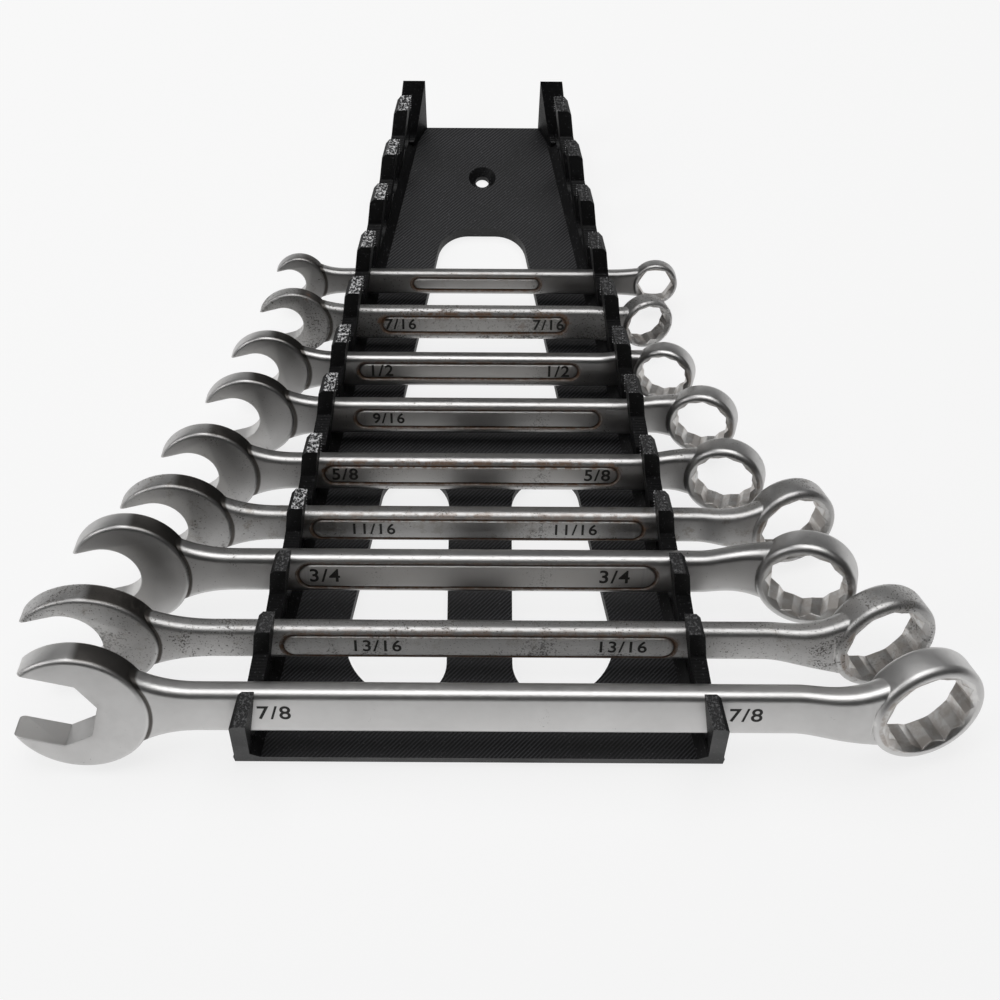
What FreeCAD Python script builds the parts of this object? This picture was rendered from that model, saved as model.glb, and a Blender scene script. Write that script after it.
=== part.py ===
import FreeCAD, Part
import math
import os

os.makedirs("parts", exist_ok=True)

# Frame: millimetres, origin on the underside of the rack in the middle of its cross band.
# +X right along the wrenches, +Y to the narrow end of the rack, +Z up off its back plate.

# Rack
RACK_LENGTH = 222.0
FRONT_HALF_WIDTH = 67.5
TAPER = 0.177            # half width lost per mm of length
RAIL_LEAN = 0.080        # rails lean inwards by this much per mm of height
RAIL_THICK = 4.3
RAIL_HEIGHT = 29.3
RAIL_CORNER = 1.3        # broken outer top corner of every tooth
PLATE_THICK = 4.0
SLOT_LEAN = 21.25        # degrees from upright, top towards +Y
SLOT_WIDTH = 7.9         # across the slot
SLOT_FLOOR = 7.0
STRIP = 2.6              # sloped strip where a rail meets the plate
END_GUSSET = 5.0         # how far the last tooth thickens inwards
ORIGIN_Y = 96.5          # distance from the front edge to the middle of the cross band

# Top rear edge of each tooth, from the wide front end to the narrow end
TOOTH_Y = [9.8, 32.6, 51.5, 69.9, 87.9, 108.1, 124.9, 142.3, 159.2, 178.3, 196.1, 214.5]

# Windows and screw holes
UPPER_WINDOW = (105.0, 179.3, 25.8, 12.8)      # y low, y high, half width at each
LOWER_WINDOW = (17.7, 88.0, 9.3, 41.6, 28.2)   # y low, y high, inner x, outer x at each
WINDOW_RADIUS = 10.0
BOSS_RADIUS = 17.0
TOP_HOLE_Y = 200.6
FRONT_HOLE = (44.5, 15.4)
HOLE_RADIUS = 2.25
SINK_RADIUS = 4.5
SINK_DEPTH = 2.3

# Wrenches
CLEARANCE = 0.3
HEAD_TURN = 15.0         # open end turned in its plane, degrees
RING_TURN = 15.0         # box end turned out of the plane, degrees
GROOVE_DEPTH = 0.45
GROOVE_WIDTH = 0.8


class Wrench:
    """Sizes of one combination wrench, in mm."""

    def __init__(self, name, across, left, right, tall, thick, bend, panel, lift, points=12):
        self.name = name
        self.across = across              # across flats
        self.left = left                  # open end tip, x
        self.right = right                # box end tip, x
        self.tall = tall                  # shaft height in its plane
        self.thick = thick                # shaft thickness
        self.bend = bend                  # +1 box end bends to the back, -1 to the front, 0 flat
        self.panel = panel                # x range of the raised panel, or None
        self.lift = lift                  # how far the shaft stands off the slot floor
        self.points = points
        self.head_radius = 0.905 * across
        self.head_thick = 0.30 * across + 1.6
        self.ring_radius = 0.745 * across
        self.ring_thick = 0.40 * across + 2.6


WRENCHES = [
    Wrench("wrench_7_8", 22.22, -125.9, 135.6, 16.6, 6.4, 1, None, 3.6),
    Wrench("wrench_13_16", 20.64, -129.6, 126.0, 15.6, 6.2, 1, (-54.5, 54.0), 3.4),
    Wrench("wrench_3_4", 19.05, -117.3, 105.0, 14.8, 6.0, -1, (-51.0, 49.5), 7.0),
    Wrench("wrench_11_16", 17.46, -106.0, 102.0, 13.4, 5.8, 1, (-48.5, 47.0), 2.2),
    Wrench("wrench_5_8", 15.88, -96.2, 83.0, 12.4, 5.4, -1, (-46.0, 40.5), 1.6),
    Wrench("wrench_9_16", 14.29, -84.4, 76.6, 11.4, 5.2, -1, (-37.7, 35.9), 1.0),
    Wrench("wrench_1_2", 12.70, -77.8, 64.4, 10.4, 4.8, -1, (-37.4, 29.8), 0.6),
    Wrench("wrench_7_16", 11.11, -69.7, 59.1, 9.6, 4.6, 1, (-31.0, 26.6), 0.3),
    Wrench("wrench_3_8", 9.53, -67.0, 61.6, 8.4, 4.2, 0, (-22.0, 18.6), 0.3, 6),
]


def vec(x, y, z=0.0):
    """A point."""
    return FreeCAD.Vector(x, y, z)


def polygon(points):
    """A closed wire through the points."""
    return Part.makePolygon(points + [points[0]])


def prism(points, along):
    """A solid swept from a closed polygon."""
    return Part.Face(polygon(points)).extrude(along)


def half_width(y):
    """Outer half width of the rack at its underside."""
    return FRONT_HALF_WIDTH - TAPER * y


def rounded_outline(corners, radii):
    """A wire through the corners with each one rounded by its radius."""
    edges = []
    count = len(corners)
    starts = []
    ends = []
    mids = []
    for i in range(count):
        here = corners[i]
        back = corners[i - 1].sub(here)
        ahead = corners[(i + 1) % count].sub(here)
        back.normalize()
        ahead.normalize()
        half = back.getAngle(ahead) / 2.0
        reach = radii[i] / math.tan(half)
        centre_way = back.add(ahead)
        centre_way.normalize()
        centre = here.add(centre_way.multiply(radii[i] / math.sin(half)))
        towards = here.sub(centre)
        towards.normalize()
        starts.append(here.add(FreeCAD.Vector(back).multiply(reach)))
        ends.append(here.add(FreeCAD.Vector(ahead).multiply(reach)))
        mids.append(centre.add(towards.multiply(radii[i])))
    for i in range(count):
        edges.append(Part.Arc(starts[i], mids[i], ends[i]).toShape())
        edges.append(Part.makeLine(ends[i], starts[(i + 1) % count]))
    return Part.Wire(edges)


def plate():
    """The back plate with its windows and screw holes."""
    near = half_width(0.0)
    far = half_width(RACK_LENGTH)
    body = prism([vec(-near, 0), vec(near, 0), vec(far, RACK_LENGTH), vec(-far, RACK_LENGTH)],
                 vec(0, 0, PLATE_THICK))
    for cut in windows() + screw_holes():
        body = body.cut(cut)
    return body


def windows():
    """The cutters for one upper and two lower windows."""
    low, high, wide, narrow = UPPER_WINDOW
    corners = [vec(-wide, low, -1), vec(wide, low, -1), vec(narrow, high, -1), vec(-narrow, high, -1)]
    outlines = [rounded_outline(corners, [WINDOW_RADIUS] * 4)]
    low, high, inner, outer_low, outer_high = LOWER_WINDOW
    for side in (-1, 1):
        corners = [vec(side * inner, low, -1), vec(side * outer_low, low, -1),
                   vec(side * outer_high, high, -1), vec(side * inner, high, -1)]
        radii = [WINDOW_RADIUS, BOSS_RADIUS, 8.0, WINDOW_RADIUS]
        if side < 0:
            corners.reverse()
            radii.reverse()
        outlines.append(rounded_outline(corners, radii))
    return [Part.Face(outline).extrude(vec(0, 0, PLATE_THICK + 2)) for outline in outlines]


def screw_holes():
    """The cutters for three countersunk screw holes."""
    cutters = []
    for x, y in ((0.0, TOP_HOLE_Y), (-FRONT_HOLE[0], FRONT_HOLE[1]), FRONT_HOLE):
        hole = Part.makeCylinder(HOLE_RADIUS, PLATE_THICK + 2, vec(x, y, -1))
        sink = Part.makeCone(HOLE_RADIUS, SINK_RADIUS, SINK_DEPTH, vec(x, y, PLATE_THICK - SINK_DEPTH))
        cutters.append(hole.fuse(sink))
    return cutters


def rail_section(side, y):
    """The closed section of one rail at a distance from the front edge."""
    out = half_width(y)
    lean = RAIL_LEAN
    top = RAIL_HEIGHT
    broken = RAIL_CORNER
    points = [(out, 0.0),
              (out - lean * (top - broken), top - broken),
              (out - lean * top - 0.8 * broken, top),
              (out - lean * top - RAIL_THICK, top),
              (out - RAIL_THICK, 0.0)]
    return polygon([vec(side * x, y, z) for x, z in points])


def strip_section(side, y):
    """The section of the sloped strip at the foot of a rail."""
    root = half_width(y) - RAIL_THICK + 0.5
    foot = PLATE_THICK - 0.5
    points = [(root, foot),
              (root, PLATE_THICK + STRIP),
              (root - 0.5 - 0.6, PLATE_THICK + STRIP),
              (root - 0.5 - STRIP - 0.6, PLATE_THICK),
              (root - 0.5 - STRIP - 0.6, foot)]
    return polygon([vec(side * x, y, z) for x, z in points])


def gusset(side):
    """The wedge that thickens the last tooth inwards at the narrow end."""
    depth = 9.0
    start = RACK_LENGTH - depth
    inner = half_width(start) - RAIL_THICK - RAIL_LEAN * RAIL_HEIGHT
    end = half_width(RACK_LENGTH) - RAIL_THICK - END_GUSSET
    high = RAIL_HEIGHT - 1.0
    points = [vec(side * (inner + 1.5), start, PLATE_THICK - 0.5),
              vec(side * inner, start, PLATE_THICK - 0.5),
              vec(side * end, RACK_LENGTH, PLATE_THICK - 0.5),
              vec(side * (inner + 1.5 - TAPER * depth), RACK_LENGTH, PLATE_THICK - 0.5)]
    return prism(points, vec(0, 0, high - PLATE_THICK + 0.5))


def slot_cutter(tooth_y):
    """One leaning slot with a round floor, cut through both rails."""
    lean = math.radians(SLOT_LEAN)
    up = vec(0, math.sin(lean), math.cos(lean))
    across = vec(0, math.cos(lean), -math.sin(lean))
    radius = SLOT_WIDTH / 2.0
    top_middle = vec(-100, tooth_y + radius / math.cos(lean), RAIL_HEIGHT)
    rise = (RAIL_HEIGHT - SLOT_FLOOR - radius) / math.cos(lean)
    low_middle = top_middle.sub(FreeCAD.Vector(up).multiply(rise))
    high_middle = top_middle.add(FreeCAD.Vector(up).multiply(12.0))
    offset = FreeCAD.Vector(across).multiply(radius)
    bottom = low_middle.sub(FreeCAD.Vector(up).multiply(radius))
    edges = [Part.makeLine(high_middle.sub(offset), low_middle.sub(offset)),
             Part.Arc(low_middle.sub(offset), bottom, low_middle.add(offset)).toShape(),
             Part.makeLine(low_middle.add(offset), high_middle.add(offset)),
             Part.makeLine(high_middle.add(offset), high_middle.sub(offset))]
    return Part.Face(Part.Wire(edges)).extrude(vec(200, 0, 0))


def rack():
    """The one-piece rack: plate, two toothed rails and their strips."""
    body = plate()
    for side in (-1, 1):
        rail = Part.makeLoft([rail_section(side, 0.0), rail_section(side, RACK_LENGTH)], True, True)
        strip = Part.makeLoft([strip_section(side, 0.0), strip_section(side, RACK_LENGTH)], True, True)
        body = body.fuse([rail, strip, gusset(side)])
    for tooth_y in TOOTH_Y:
        body = body.cut(slot_cutter(tooth_y))
    return body.removeSplitter()


def section(x, tall, thick, shift=0.0):
    """A rounded section of a shaft: tall along Y, thick along Z, at a given x."""
    radius = 0.40 * min(tall, thick)
    high = tall / 2.0
    wide = thick / 2.0
    corners = [vec(x, -high, shift - wide), vec(x, high, shift - wide),
               vec(x, high, shift + wide), vec(x, -high, shift + wide)]
    return rounded_outline(corners, [radius] * 4)


def disc(radius, thick, broken):
    """A disc about Z with both rims broken."""
    half = thick / 2.0
    points = [vec(0, 0, -half), vec(radius - broken, 0, -half), vec(radius, 0, broken - half),
              vec(radius, 0, half - broken), vec(radius - broken, 0, half), vec(0, 0, half)]
    face = Part.Face(polygon(points))
    return face.revolve(vec(0, 0, 0), vec(0, 0, 1), 360)


def jaw_cutter(tool):
    """The opening of the open end, about its own centre, opening towards -X."""
    half = tool.across / 2.0 + 0.15
    depth = 0.56 * tool.across
    tall = tool.head_thick + 4
    reach = 3 * tool.head_radius
    points = [vec(-reach, half, -tall / 2), vec(-reach, -half, -tall / 2),
              vec(depth - 0.42 * tool.across, -half, -tall / 2), vec(depth, -0.16 * tool.across, -tall / 2),
              vec(depth, 0.16 * tool.across, -tall / 2), vec(depth - 0.42 * tool.across, half, -tall / 2)]
    return prism(points, vec(0, 0, tall))


def star(tool, tall):
    """The socket of the box end: six or twelve points."""
    outer = tool.across / 2.0 / math.cos(math.radians(30)) + 0.1
    inner = tool.across / 2.0 / math.cos(math.radians(15)) + 0.1
    points = []
    if tool.points == 6:
        for i in range(6):
            angle = math.radians(60 * i + 30)
            points.append(vec(outer * math.cos(angle), outer * math.sin(angle), -tall / 2))
    else:
        for i in range(24):
            radius = outer if i % 2 == 0 else inner
            angle = math.radians(15 * i)
            points.append(vec(radius * math.cos(angle), radius * math.sin(angle), -tall / 2))
    return prism(points, vec(0, 0, tall))


def ring_parts(tool):
    """The solid ring and the cutter for its socket, both in place on the shaft."""
    radius = tool.ring_radius
    thick = tool.ring_thick if tool.bend else tool.thick + 0.6
    ring = disc(radius, thick, 0.14 * thick if tool.bend else 0.5)
    cutter = star(tool, thick + 6)
    mouth = tool.across / 2.0 / math.cos(math.radians(30)) + 0.7
    for side in (-1, 1):
        cone = Part.makeCone(mouth - 1.6, mouth + 0.8, 2.4, vec(0, 0, 0), vec(0, 0, side))
        cone.translate(vec(0, 0, side * (thick / 2.0 - 1.6)))
        cutter = cutter.fuse(cone)
    centre = vec(tool.right - radius, 0, -tool.bend * 0.20 * radius)
    for shape in (ring, cutter):
        shape.rotate(vec(0, 0, 0), vec(0, 1, 0), RING_TURN * tool.bend)
        shape.translate(centre)
    return ring, cutter, centre


def shaft(tool, ring_centre, rail_x):
    """The shaft with its flare to the open end and its neck to the box end, clear of the rail."""
    head_x = tool.left + tool.head_radius * 0.98
    neck_x = ring_centre.x - tool.ring_radius
    tall = tool.tall
    thick = tool.thick
    ring_tall = tool.ring_radius * 1.30
    ring_deep = (tool.ring_thick if tool.bend else tool.thick) * 0.80
    lean = ring_centre.z
    flare = 1.25 * tool.head_radius
    bend_x = max(neck_x - 0.35 * tool.ring_radius, rail_x + CLEARANCE)
    stations = [section(head_x + 0.35 * tool.head_radius, tall * 1.72, thick * 1.06),
                section(head_x + 0.85 * tool.head_radius, tall * 1.34, thick * 1.03),
                section(head_x + flare + 0.30 * tool.head_radius, tall * 1.10, thick),
                section(head_x + flare + 1.30 * tool.head_radius, tall, thick),
                section(neck_x - 1.30 * tool.ring_radius, tall, thick),
                section(bend_x, tall * 1.04, thick),
                section(neck_x + 0.36 * tool.ring_radius, ring_tall, ring_deep, lean * 0.75)]
    return Part.makeLoft(stations, True, True)


def oval(start, end, tall, z):
    """A flat-sided oval outline on a plane of constant z."""
    radius = tall / 2.0
    left = start + radius
    right = end - radius
    edges = [Part.makeLine(vec(left, -radius, z), vec(right, -radius, z)),
             Part.Arc(vec(right, -radius, z), vec(end, 0, z), vec(right, radius, z)).toShape(),
             Part.makeLine(vec(right, radius, z), vec(left, radius, z)),
             Part.Arc(vec(left, radius, z), vec(start, 0, z), vec(left, -radius, z)).toShape()]
    return Part.Face(Part.Wire(edges))


def panel_cutters(tool):
    """Grooves that leave a raised oval panel on both faces of the shaft."""
    start, end = tool.panel
    tall = tool.tall - 1.2 * tool.thick * 0.40
    cutters = []
    for side in (-1, 1):
        z = side * (tool.thick / 2.0 - GROOVE_DEPTH)
        outer = oval(start, end, tall, z)
        inner = oval(start + GROOVE_WIDTH, end - GROOVE_WIDTH, tall - 2 * GROOVE_WIDTH, z)
        cutters.append(outer.cut(inner).extrude(vec(0, 0, side * 2.0)))
    return cutters


def wrench(tool, tooth_y):
    """One combination wrench about its own shaft axis, flat in XY."""
    ring, socket, ring_centre = ring_parts(tool)
    body = shaft(tool, ring_centre, half_width(tooth_y))
    head_centre = vec(tool.left + tool.head_radius * 0.98, 0, 0)
    head = disc(tool.head_radius, tool.head_thick, 0.9)
    head.translate(head_centre)
    body = body.fuse([head, ring])
    jaw = jaw_cutter(tool)
    jaw.rotate(vec(0, 0, 0), vec(0, 0, 1), -HEAD_TURN)
    jaw.translate(head_centre.add(vec(-0.16 * tool.across, 0, 0)))
    body = body.cut(jaw).cut(socket)
    if tool.panel:
        for cutter in panel_cutters(tool):
            body = body.cut(cutter)
    return body.removeSplitter()


def place(shape, tool, tooth_y):
    """Lean a wrench in its slot, against the tooth behind it."""
    lean = math.radians(SLOT_LEAN)
    up = vec(0, math.sin(lean), math.cos(lean))
    facing = vec(0, -math.cos(lean), math.sin(lean))
    floor = vec(0, tooth_y + SLOT_WIDTH / math.cos(lean), RAIL_HEIGHT)
    drop = (RAIL_HEIGHT - SLOT_FLOOR) / math.cos(lean)
    floor = floor.sub(FreeCAD.Vector(up).multiply(drop))
    middle = floor.add(FreeCAD.Vector(up).multiply(tool.tall / 2.0 + tool.lift + SLOT_WIDTH * 0.15))
    middle = middle.add(FreeCAD.Vector(facing).multiply(tool.thick / 2.0 + CLEARANCE))
    shape.rotate(vec(0, 0, 0), vec(1, 0, 0), 90.0 - SLOT_LEAN)
    shape.translate(middle)
    return shape


def export(shape, name):
    """Move a shape to the part's origin and write it."""
    shape.translate(vec(0, -ORIGIN_Y, 0))
    if shape.ShapeType == "Compound" and len(shape.Solids) == 1:
        shape = shape.Solids[0]
    shape.exportStep("parts/" + name + ".step")
    box = shape.BoundBox
    print(name, len(shape.Solids), shape.isValid(), round(shape.Volume / 1000.0, 2),
          [round(v, 2) for v in (box.XMin, box.XMax, box.YMin, box.YMax, box.ZMin, box.ZMax)])


export(rack(), "rack")
for index, item in enumerate(WRENCHES):
    export(place(wrench(item, TOOTH_Y[index]), item, TOOTH_Y[index]), item.name)
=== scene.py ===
import logging
from dataclasses import dataclass
from enum import Enum
from math import cos, pi, radians, sin, tan
from typing import Any, Sequence

import bmesh
import bpy
from bpy.types import Material, NodeTree, Object
from mathutils import Matrix, Vector

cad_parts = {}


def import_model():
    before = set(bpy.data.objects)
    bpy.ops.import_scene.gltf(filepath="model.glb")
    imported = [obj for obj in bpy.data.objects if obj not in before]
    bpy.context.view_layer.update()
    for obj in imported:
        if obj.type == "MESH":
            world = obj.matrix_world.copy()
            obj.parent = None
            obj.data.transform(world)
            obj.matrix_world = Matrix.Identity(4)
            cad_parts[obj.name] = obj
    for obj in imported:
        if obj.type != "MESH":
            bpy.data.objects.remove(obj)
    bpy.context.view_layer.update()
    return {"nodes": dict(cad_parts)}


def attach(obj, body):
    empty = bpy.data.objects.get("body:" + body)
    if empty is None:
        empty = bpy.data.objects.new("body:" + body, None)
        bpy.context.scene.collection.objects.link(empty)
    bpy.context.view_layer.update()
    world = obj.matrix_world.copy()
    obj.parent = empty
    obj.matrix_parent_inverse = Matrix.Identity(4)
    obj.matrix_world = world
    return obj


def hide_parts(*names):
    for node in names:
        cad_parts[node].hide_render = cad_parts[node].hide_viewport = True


Colour = tuple[float, ...]
Points = Sequence[Sequence[float]]

LOG = logging.getLogger("wrench_set")

# Sizes are in mm, with y from the rack's front edge, unless a comment says otherwise.
MM = 0.001  # metres
ORIGIN_Y = 96.5  # the frame's origin
RAIL_TOP = 29.3
FRONT_HALF_WIDTH = 67.5
TAPER = 0.177  # half width lost per mm of length
RAIL_LEAN = 0.080  # half width lost per mm of height
RAIL_THICK = 4.3
SLOT_LEAN = radians(26.57)
CLEARANCE = 0.3  # on each side of a shaft in its slot
SPARE_SLOT = 4.4  # shaft that an empty slot would hold
LEDGE = 13.5  # height at which a slot's mouth starts
MOUTH = 20.5  # height at which it has its full length
TOOTH_TOP = 6.3  # length of a tooth's top
TOOTH_LEAN = 0.30  # slope of a tooth's front face
# Top rear edge of each tooth
TOOTH_Y = (10.4, 32.8, 50.8, 69.9, 87.8, 108.1, 124.9, 142.3, 159.4, 177.6, 195.4, 213.5)
HEAD_TURN = radians(15.0)  # of the open end, in the wrench's plane
RING_TURN = radians(15.0)  # of the box end, out of that plane
RING_SHIFT = 0.17  # of the box end off the shaft's axis, per its radius
BEAK_SHARE = 0.851  # stretch that an open end turned down keeps


class Slot(Enum):
    """Names of the material slots."""

    RACK = "black_plastic"
    CHROME = "worn_chrome"
    RUSTED = "rusted_chrome"


@dataclass(frozen=True)
class Wear:
    """How worn one wrench is, each from 0 to 1.

    Attributes:
        pits: How many pits it has.
        grime: How much brown dirt.
        rust: How much rust.
        groove_rust: How much rust along the upper groove.
        tone: Grey level of the plate.
        rough: Roughness of the plate.
    """

    pits: float = 0.25
    grime: float = 0.4
    rust: float = 0.0
    groove_rust: float = 0.3
    tone: float = 0.52
    rough: float = 0.30


@dataclass(frozen=True)
class Tool:
    """Sizes of one combination wrench in mm, in its own flat frame.

    Attributes:
        node: The CAD node it dresses.
        label: The size stamped on it.
        across: Width across flats.
        left: Tip of the open end.
        right: Tip of the box end.
        tall: Height of the shaft in its plane.
        thick: Thickness of the shaft.
        bend: 1 if the box end bends back, -1 to the front, 0 flat.
        stand: Height of the shaft's lower front edge.
        panel: Start, end, height and middle of the grooved panel.
        marks: Places of the size stamps along the shaft.
        text: Size of the stamps.
        points: Points of the box end.
        wear: How worn it is.
        beak: Stretch of the open end along and across the shaft.
        throat: Depth of the opening, per width across flats.
    """

    node: str
    label: str
    across: float
    left: float
    right: float
    tall: float
    thick: float
    bend: int
    stand: float
    panel: tuple[float, ...] = ()
    marks: tuple[float, ...] = ()
    text: float = 5.2
    points: int = 12
    wear: Wear = Wear()
    beak: tuple[float, float] = (1.25, 1.04)
    throat: float = 0.56

    HEAD_SHARES = (0.88, 0.905)  # radius of the largest and of the other open ends
    HEAD_THICK = (0.30, 1.6)  # per width across flats, and added
    TIP_SHARE = 0.98
    RING_SHARE = 0.73
    RING_THICK = (0.37, 2.3)  # per width across flats, and added
    FLAT_RING = 0.6  # over a flat shaft

    @property
    def slot(self) -> Slot:
        """Its material slot."""
        return Slot.RUSTED if self.label == "7/16" else Slot.CHROME

    @property
    def largest(self) -> bool:
        """Whether it is the front one, with angular jaws and a plain shaft."""
        return self.label == "7/8"

    @property
    def head_radius(self) -> float:
        """Radius of the open end."""
        return self.HEAD_SHARES[0 if self.largest else 1] * self.across

    @property
    def head_thick(self) -> float:
        """Thickness of the open end."""
        return self.HEAD_THICK[0] * self.across + self.HEAD_THICK[1]

    @property
    def head_x(self) -> float:
        """Middle of the open end."""
        return self.left + self.head_radius * self.TIP_SHARE

    @property
    def jaw_turn(self) -> float:
        """Turn of the opening: up on the largest wrench, down on the others."""
        return -HEAD_TURN if self.largest else HEAD_TURN

    @property
    def disc_along(self) -> float:
        """Stretch of the open end's outline along the shaft."""
        return self.beak[0] if self.jaw_turn < 0 else BEAK_SHARE * self.beak[0]

    @property
    def disc_x(self) -> float:
        """Middle of the open end's outline."""
        return self.head_x + (self.beak[0] - self.disc_along) * self.head_radius

    @property
    def ring_radius(self) -> float:
        """Outer radius of the box end."""
        return self.RING_SHARE * self.across

    @property
    def ring_thick(self) -> float:
        """Thickness of the box end."""
        if not self.bend:
            return self.thick + self.FLAT_RING
        return self.RING_THICK[0] * self.across + self.RING_THICK[1]

    @property
    def ring_x(self) -> float:
        """Middle of the box end along the shaft."""
        return self.right - self.ring_radius

    @property
    def ring_z(self) -> float:
        """Middle of the box end off the shaft's axis."""
        return -self.bend * RING_SHIFT * self.ring_radius


TOOLS = (
    Tool("wrench_7_8", "7/8", 22.22, -126.6, 135.6, 14.6, 6.4, 1, 14.4,
         (), (-54.7, 71.0), 6.6, 12,
         Wear(0.10, 0.35, 0.15, 0.0, 0.66, 0.34), (1.0, 1.0), 0.39),
    Tool("wrench_13_16", "13/16", 20.64, -129.6, 126.0, 10.8, 6.0, 1, 13.2,
         (-54.5, 54.0, 7.9, -0.3), (-28.4, 39.0), 5.6, 12,
         Wear(0.75, 0.65, 0.1, 0.45, 0.50, 0.34), (1.25, 0.87)),
    Tool("wrench_3_4", "3/4", 19.05, -117.3, 105.0, 12.4, 6.0, -1, 15.4,
         (-51.0, 49.5, 8.6, 0.0), (-43.3, 37.4), 6.3, 12,
         Wear(0.45, 0.35, 0.25, 0.1, 0.56, 0.30), (1.13, 1.0), 0.48),
    Tool("wrench_11_16", "11/16", 17.46, -106.0, 102.0, 10.0, 5.8, 1, 12.0,
         (-48.5, 47.0, 7.2, -0.2), (-30.8, 27.0), 5.2, 12,
         Wear(0.60, 0.75, 0.25, 0.55, 0.48, 0.33), (1.23, 0.95)),
    Tool("wrench_5_8", "5/8", 15.88, -96.2, 83.0, 11.0, 5.4, -1, 10.8,
         (-46.0, 40.5, 6.6, 0.4), (-39.6, 34.0), 5.6, 12,
         Wear(0.55, 0.45, 0.30, 0.9, 0.52, 0.30), (1.19, 1.02), 0.52),
    Tool("wrench_9_16", "9/16", 14.29, -84.4, 76.6, 10.8, 5.2, -1, 9.7,
         (-37.7, 35.9, 6.5, 0.3), (-27.5,), 4.9, 12,
         Wear(0.50, 0.35, 0.05, 0.15, 0.53, 0.30)),
    Tool("wrench_1_2", "1/2", 12.70, -77.8, 65.0, 10.4, 4.8, -1, 9.6,
         (-37.4, 29.8, 5.7, 0.5), (-30.4, 23.1), 5.4, 12,
         Wear(0.40, 0.40, 0.25, 0.2, 0.54, 0.27)),
    Tool("wrench_7_16", "7/16", 11.11, -69.7, 59.1, 10.6, 4.6, 1, 9.3,
         (-31.0, 26.6, 6.1, 0.2), (-25.0, 20.7), 5.0, 12,
         Wear(0.85, 0.60, 0.55, 0.9, 0.50, 0.36), (1.31, 1.05), 0.60),
    Tool("wrench_3_8", "3/8", 9.53, -67.0, 61.6, 7.8, 4.2, 0, 9.2,
         (-22.0, 18.6, 4.6, 0.0), (), 4.0, 6,
         Wear(0.45, 0.60, 0.05, 0.2, 0.42, 0.32), (1.10, 1.0), 0.50),
)


def slot_wall(tooth_y: float, height: float) -> float:
    """Give y of a tooth's rear face at a height.

    Args:
        tooth_y: Top rear edge of the tooth.
        height: Height above the table.

    Returns:
        The distance from the front edge in mm.
    """
    return tooth_y - (RAIL_TOP - height) * tan(SLOT_LEAN)


def placing(tool: Tool, tooth_y: float) -> Matrix:
    """Give the matrix from a wrench's flat frame in mm to the part's frame.

    Args:
        tool: The wrench.
        tooth_y: Top rear edge of the tooth in front of it.

    Returns:
        The placing matrix.
    """
    s, c = sin(SLOT_LEAN), cos(SLOT_LEAN)
    up, face = Vector((0, s, c)), Vector((0, -c, s))
    middle = Vector((0, slot_wall(tooth_y, tool.stand) - ORIGIN_Y, tool.stand))
    middle += up * (tool.tall / 2) - face * (tool.thick / 2 + CLEARANCE)
    turn = Matrix(((1, 0, 0), (0, up.y, face.y), (0, up.z, face.z))).to_4x4()
    return Matrix.Scale(MM, 4) @ Matrix.Translation(middle) @ turn


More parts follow.
